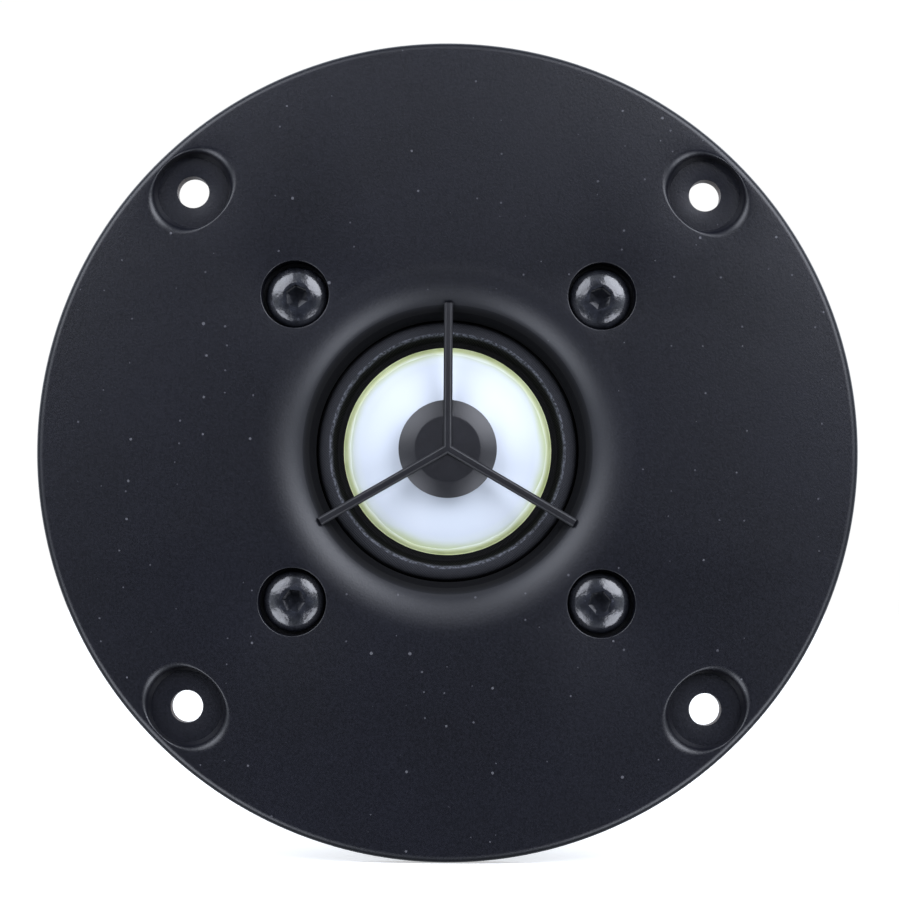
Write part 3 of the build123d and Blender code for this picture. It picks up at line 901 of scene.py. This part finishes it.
def make_screws():
    shell = Shell()
    widening, mouth_start, mouth_end = HEX_MOUTH
    skin = crown(CROWN_STEPS)
    skin += [(HEAD_R, SCREW_SEAT), (SHANK_R, SCREW_SEAT), (SHANK_R, SCREW_TIP - SHANK_CHAMFER)]
    for number, angle in enumerate(CORNERS):
        centre = place(THREAD_R, angle)
        twist = radians(HEAD_TURNS[0] + HEAD_TURNS[1] * number)
        rings = [
            [(centre[0], HEAD_TOP + HEX_DEPTH + HEX_POINT, centre[1])],
            hexagon(HEX_R * HEX_TAPER, HEAD_TOP + HEX_DEPTH, centre, twist),
            hexagon(HEX_R, HEAD_TOP + mouth_start, centre, twist),
            hexagon(HEX_R + widening, HEAD_TOP + mouth_end, centre, twist),
        ]
        rings += [circle(r, y, AROUND_SMALL, centre, twist) for r, y in skin]
        rings.append(circle(SHANK_R - SHANK_CHAMFER, SCREW_TIP, AROUND_SMALL, centre))
        rings.append([(centre[0], SCREW_TIP, centre[1])])
        loops = [shell.loop(ring) for ring in rings]
        # the socket wears the less glossy copy of the oxide: painted shade
        shell.stack(loops[:3], mark=1)
        shell.stack(loops[2:])
    piece("button_head_screws", shell, "housing", "assembly_screws", 30, ("screw_socket",))


# ---------------------------------------------------------------- diaphragm

def dome_depth(radius, wall=0.0):
    return DOME_APEX + SPHERE_R - sqrt((SPHERE_R - wall) ** 2 - radius**2)


def make_dome():
    out_steps, in_steps = DOME_STEPS
    inside_r = DOME_R - SKIRT_WALL
    profile = [(r, dome_depth(r)) for r in (DOME_R * k / out_steps for k in range(out_steps + 1))]
    profile += [(DOME_R, SKIRT_REAR), (inside_r, SKIRT_REAR)]
    within = [inside_r * k / in_steps for k in range(in_steps, -1, -1)]
    profile += [(r, dome_depth(r, DOME_WALL)) for r in within]
    piece("dome_shell", turned(profile, closed=False), "diaphragm", "dome")


def make_adhesive():
    """Uneven fillet of adhesive over the dome's edge and the end of the coil former."""
    shell = Shell()
    loops = []
    outer = FORMER_R - 0.01
    for step in range(FILLET_STEPS + 1):
        share = step / FILLET_STEPS
        points = []
        for k in range(AROUND):
            turn = 2 * pi * k / AROUND
            waves = (high * sin(count * turn + start) for high, count, start in FILLET_WAVES)
            inner = FILLET_INNER_R + sum(waves)
            radius = inner + (outer - inner) * share
            under = dome_depth(min(radius, DOME_R)) + max(radius - DOME_R, 0) * 0.5
            rise = FILLET_RISE * sin(pi * min(share * 0.9 + 0.02, 1)) ** 0.9
            points.append((radius * cos(turn), under - rise, radius * sin(turn)))
        loops.append(shell.loop(points))
    shell.stack(loops)
    closing = [(outer, DOME_EDGE - 0.01), (DOME_R + 0.005, DOME_EDGE - 0.01),
               (FILLET_FOOT_R, dome_depth(FILLET_FOOT_R) + 0.05)]
    under = [shell.loop(circle(r, y)) for r, y in closing]
    shell.stack([loops[-1], *under, loops[0]])
    piece("edge_adhesive_fillet", shell, "diaphragm", "dome_edge_adhesive", 60)


def make_surround():
    """Roll of coated cloth: a steep inner side, a crest close to the dome and a long outer slope."""
    seat = CLAMP_SEAT + 0.001
    inner_r, outer_r = ROLL_R
    inner_foot, outer_foot = ROLL_FOOT_R
    turns = quarter(ROLL_STEPS)[1:]
    front = [(SURROUND_R, seat), (outer_foot, seat)]
    front += [
        (CREST_R + (outer_r - CREST_R) * cos(t) ** 0.9,
         CLAMP_SEAT - (CLAMP_SEAT - ROLL_FRONT) * sin(t) ** 0.8)
        for t in turns[:-1]
    ]
    front += [(CREST_R, ROLL_FRONT)]
    front += [
        (inner_r + (CREST_R - inner_r) * cos(t),
         DOME_EDGE - (DOME_EDGE - ROLL_FRONT) * (1 - sin(t) ** 2) ** 0.5)
        for t in turns
    ]
    front += [(inner_foot, DOME_EDGE + 0.02), (FORMER_R + 0.02, DOME_EDGE)]
    rear = [(r, y + CLOTH_WALL) for r, y in front[::-1]]
    obj = piece("woven_surround", turned(front + rear), None, "surround", 70)
    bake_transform(obj)


# ---------------------------------------------------------------- motor and rear

def make_motor():
    ring = turned_ring(TOP_PLATE_BORE_R, TOP_PLATE_R, TOP_PLATE_FRONT, TOP_PLATE_REAR, 0.35)
    piece("top_plate_ring", ring, "housing", "top_plate")
    magnet = turned_ring(MAGNET_BORE_R, MAGNET_R, MAGNET_FRONT, MAGNET_REAR, [0.3, 1.1, 1.1, 0.3], steps=6)
    piece("ferrite_magnet", magnet, "housing", "magnet_ring")
    pole = [(VENT_R, POLE_TOP), (POLE_R, POLE_TOP), (POLE_R, MAGNET_REAR), (YOKE_R, MAGNET_REAR),
            (YOKE_R, YOKE_REAR), (VENT_R, YOKE_REAR)]
    piece("vented_yoke", turned(eased(pole, [0.3, 0.3, 0, 0.3, 1.3, 0.3], 6)), "housing", "yoke")


def make_rear_cup():
    wall_r = CUP_R - CUP_FLANGE
    flange_rear = CUP_FRONT + CUP_FLANGE
    panel = CUP_REAR - CUP_PANEL_DEPTH
    floor = CUP_REAR - CUP_FLOOR
    profile = [(CUP_INNER_R, CUP_FRONT), (CUP_R, CUP_FRONT), (CUP_R, flange_rear), (wall_r, flange_rear),
               (wall_r, CUP_REAR), (CUP_PANEL_R, CUP_REAR), (CUP_PANEL_R - CUP_PANEL_SLOPE, panel),
               (0, panel), (0, floor), (CUP_INNER_R, floor)]
    piece("rear_cup_shell", turned(eased(profile, CUP_EASES, 6)), "housing", "rear_chamber_cup")


def make_lead(node, side):
    """Tinsel lead: twisted strands from beside the coil former to a blade."""
    corners = [(side * x, LEAD_Y, z) for x, z in LEAD_ROUTE]
    route = np.array(eased(corners, LEAD_EASES, 8, closed=False))
    travel = np.concatenate([[0], np.cumsum(np.linalg.norm(np.diff(route, axis=0), axis=1))])
    stations = np.linspace(0, travel[-1], int(travel[-1] / LEAD_STEP))
    middle = np.stack([np.interp(stations, travel, route[:, axis]) for axis in range(3)], axis=1)
    shell = Shell()
    loops = []
    for station, centre, ahead in zip(stations, middle, np.gradient(middle, axis=0)):
        up = Vector((0, 1, 0))
        right = Vector(ahead).normalized().cross(up)
        points = []
        for k in range(LEAD_AROUND):
            turn = 2 * pi * k / LEAD_AROUND
            strand = cos(STRANDS * (turn - 2 * pi * station / LEAD_LAY))
            reach = LEAD_R * (1 - STRAND_DEPTH + STRAND_DEPTH * strand)
            points.append(tuple(Vector(centre) + reach * (cos(turn) * right + sin(turn) * up)))
        loops.append(shell.loop(points))
    shell.stack(loops)
    shell.face(loops[0])
    shell.face(loops[-1])
    obj = piece(node.replace("lead_wire", "tinsel_lead"), shell, None, node, 60)
    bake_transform(obj)


def make_soft_parts():
    gasket = turned_ring(GASKET_R - GASKET_WIDTH, GASKET_R, GASKET_FRONT, GASKET_REAR, 0.3)
    piece("gasket_foam_ring", gasket, "housing", "flange_gasket")
    felt = turned_ring(FELT_BORE_R, FELT_R, FELT_FRONT, FELT_REAR, 0.35, AROUND_MIDDLE)
    piece("pole_felt", felt, "housing", "pole_felt_ring")
    corners = [(0, PLUG_FRONT), (PLUG_R, PLUG_FRONT), (PLUG_R, PLUG_REAR), (0, PLUG_REAR)]
    plug = turned(eased(corners, [0, 0.6, 0.6, 0]), AROUND_SMALL, closed=False)
    piece("vent_plug", plug, "housing", "vent_felt_plug")
    corners = [(0, FOAM_FRONT), (FOAM_R, FOAM_FRONT), (FOAM_R, FOAM_REAR), (0, FOAM_REAR)]
    disc = turned(eased(corners, [0, 0.8, 0.8, 0]), closed=False)
    piece("damping_foam_disc", disc, "housing", "rear_chamber_foam")


def dress_cad_nodes():
    """Every CAD node that stays gets its slot's finish, and a fine bevel where its edges show."""
    for name, obj in frame["nodes"].items():
        if obj.hide_render:
            continue
        obj.data.materials.clear()
        obj.data.materials.append(FINISHES[SLOTS[name]])
        if name.startswith("terminal"):
            bevel = obj.modifiers.new("edge", "BEVEL")
            bevel.width = BLADE_BEVEL * MM
            bevel.segments = 2
            bevel.limit_method = "ANGLE"


# ---------------------------------------------------------------- stage, light and camera

FLOOR_HALF = 6.0
FLOOR_DROP = 0.0001        # how far the floor is below the rim
FLOOR_GLOW = 0.5

# Light from all round: each shade is a range of a direction's part and the light at its two ends
AXIS_SHADE = (-0.92, -0.60, 0.03, 1.0)   # dark straight ahead of the tweeter
SIDE_SHADE = (-0.64, -0.10, 1.0, 0.14)   # fading towards the tweeter's plane
REAR_SHADE = (0.10, 0.55, 0.0, 1.0)      # light behind
RISE_SHADE = (-0.6, 0.8, 0.25, 1.1)      # which is stronger from above
PANEL_BASE = 0.45
PANEL_SIDEWAYS = 0.5
PANEL_DIAGONAL = 0.9
WORLD_STRENGTH = 1.45
WORLD_TINT = (0.90, 0.97, 1.08)
BACKDROP = 1.02

LAMP_TINT = (0.94, 0.97, 1.08)
LAMP_DISTANCE = 0.8
LAMPS = (                  # name, azimuth, angle off the axis, watts and size
    ("lamp_upper_right", 45, 46, 4.7, 0.60),
    ("lamp_upper_left", 135, 47, 3.0, 0.60),
    ("lamp_lower_left", 225, 50, 2.5, 0.55),
    ("lamp_lower_right", 315, 49, 2.7, 0.55),
)


def make_floor():
    """Pale floor that the rim stands on."""
    floor_z = cad_low.z - FLOOR_DROP
    corners = [(x * FLOOR_HALF, y * FLOOR_HALF, floor_z) for x, y in ((-1, -1), (1, -1), (1, 1), (-1, 1))]
    mesh = bpy.data.meshes.new("floor")
    mesh.from_pydata(corners, [], [(0, 1, 2, 3)])
    floor = bpy.data.objects.new("floor", mesh)
    bpy.context.scene.collection.objects.link(floor)
    finish = Finish("pale_floor", Specular_IOR_Level=0.0, Roughness=1.0, Emission_Strength=FLOOR_GLOW,
                    Emission_Color=(1, 1, 1, 1))
    finish.colour(finish.tones(finish.noise(60.0), (0.90, 0.90, 0.90), (0.92, 0.92, 0.92)))
    floor.data.materials.append(finish.material)
    floor.visible_diffuse = False
    floor.visible_glossy = False


def make_world():
    """Soft light from panels beside the tweeter and behind it, and a white backdrop for the camera."""
    world = bpy.data.worlds.new("studio")
    world.use_nodes = True
    bpy.context.scene.world = world
    nodes, links = world.node_tree.nodes, world.node_tree.links

    def graded(value, shade):
        made = nodes.new("ShaderNodeMapRange")
        made.interpolation_type = "SMOOTHSTEP"
        for socket, number in zip(("From Min", "From Max", "To Min", "To Max"), shade):
            made.inputs[socket].default_value = number
        links.new(value, made.inputs["Value"])
        return made.outputs["Result"]

    def combined(operation, *values):
        made = nodes.new("ShaderNodeMath")
        made.operation = operation
        for socket, value in zip(made.inputs, values):
            if isinstance(value, (int, float)):
                socket.default_value = value
            else:
                links.new(value, socket)
        return made.outputs["Value"]

    parts = nodes.new("ShaderNodeSeparateXYZ")
    links.new(nodes.new("ShaderNodeTexCoord").outputs["Generated"], parts.inputs["Vector"])
    x, y, z = (parts.outputs[axis] for axis in "XYZ")
    ahead = combined("MULTIPLY", graded(y, AXIS_SHADE), graded(y, SIDE_SHADE))
    off_axis = combined("SUBTRACT", 1.0001, combined("MULTIPLY", y, y))
    sideways = combined("DIVIDE", combined("MULTIPLY", x, x), off_axis)
    across = combined("DIVIDE", combined("MULTIPLY", combined("MULTIPLY", x, z), 2.0), off_axis)
    diagonal = combined("MULTIPLY", across, across)
    panels = combined("ADD", combined("MULTIPLY", sideways, PANEL_SIDEWAYS),
                      combined("MULTIPLY", diagonal, PANEL_DIAGONAL))
    front = combined("MULTIPLY", combined("ADD", panels, PANEL_BASE), ahead)
    rear = combined("MULTIPLY", graded(y, REAR_SHADE), graded(z, RISE_SHADE))
    strength = combined("MULTIPLY", combined("ADD", front, rear), WORLD_STRENGTH)
    lighting = nodes["Background"]
    lighting.inputs["Color"].default_value = (*WORLD_TINT, 1)
    links.new(strength, lighting.inputs["Strength"])
    backdrop = nodes.new("ShaderNodeBackground")
    backdrop.inputs["Color"].default_value = (1, 1, 1, 1)
    backdrop.inputs["Strength"].default_value = BACKDROP
    choice = nodes.new("ShaderNodeMixShader")
    links.new(nodes.new("ShaderNodeLightPath").outputs["Is Camera Ray"], choice.inputs["Fac"])
    links.new(lighting.outputs["Background"], choice.inputs[1])
    links.new(backdrop.outputs["Background"], choice.inputs[2])
    links.new(choice.outputs["Shader"], nodes["World Output"].inputs["Surface"])


def make_lamps():
    """Round soft lamps in front; azimuth goes round the axis from +X."""
    for name, azimuth, spread, watts, size in LAMPS:
        data = bpy.data.lights.new(name, "AREA")
        data.shape = "DISK"
        data.size = size
        data.energy = watts
        data.color = LAMP_TINT
        lamp = bpy.data.objects.new(name, data)
        x, z = place(sin(radians(spread)), azimuth)
        position = Vector((x, -cos(radians(spread)), z)) * LAMP_DISTANCE
        lamp.location = position
        lamp.rotation_euler = position.to_track_quat("Z", "Y").to_euler()
        bpy.context.scene.collection.objects.link(lamp)


CAMERA_DISTANCE = 0.300
CAMERA_ELEVATION = radians(-3.51)
CAMERA_AZIMUTH = radians(-0.17)
CAMERA_ROLL = radians(0.35)
CAMERA_LENS = 97.44
CAMERA_SHIFT = (0.0027, 0.0004)


def make_camera():
    data = bpy.data.cameras.new("camera")
    data.lens = CAMERA_LENS
    data.sensor_width = 36.0
    data.shift_x, data.shift_y = CAMERA_SHIFT
    data.clip_start = 0.01
    camera = bpy.data.objects.new("camera", data)
    bpy.context.scene.collection.objects.link(camera)
    level = cos(CAMERA_ELEVATION)
    position = Vector((level * sin(CAMERA_AZIMUTH), -level * cos(CAMERA_AZIMUTH), sin(CAMERA_ELEVATION)))
    position *= CAMERA_DISTANCE
    forward = -position.normalized()
    right = forward.cross(Vector((0, 0, 1))).normalized()
    up = right.cross(forward)
    rolled_right = right * cos(CAMERA_ROLL) + up * sin(CAMERA_ROLL)
    rolled_up = up * cos(CAMERA_ROLL) - right * sin(CAMERA_ROLL)
    turn = Matrix((rolled_right, rolled_up, -forward)).transposed().to_4x4()
    camera.matrix_world = Matrix.Translation(position) @ turn
    bpy.context.scene.camera = camera


make_faceplate()
make_guard()
make_screws()
make_dome()
make_adhesive()
make_surround()
make_motor()
make_rear_cup()
make_lead("lead_wire_positive", -1)
make_lead("lead_wire_negative", 1)
make_soft_parts()
dress_cad_nodes()
make_floor()
make_world()
make_lamps()
make_camera()
bpy.context.scene.view_settings.view_transform = "Standard"
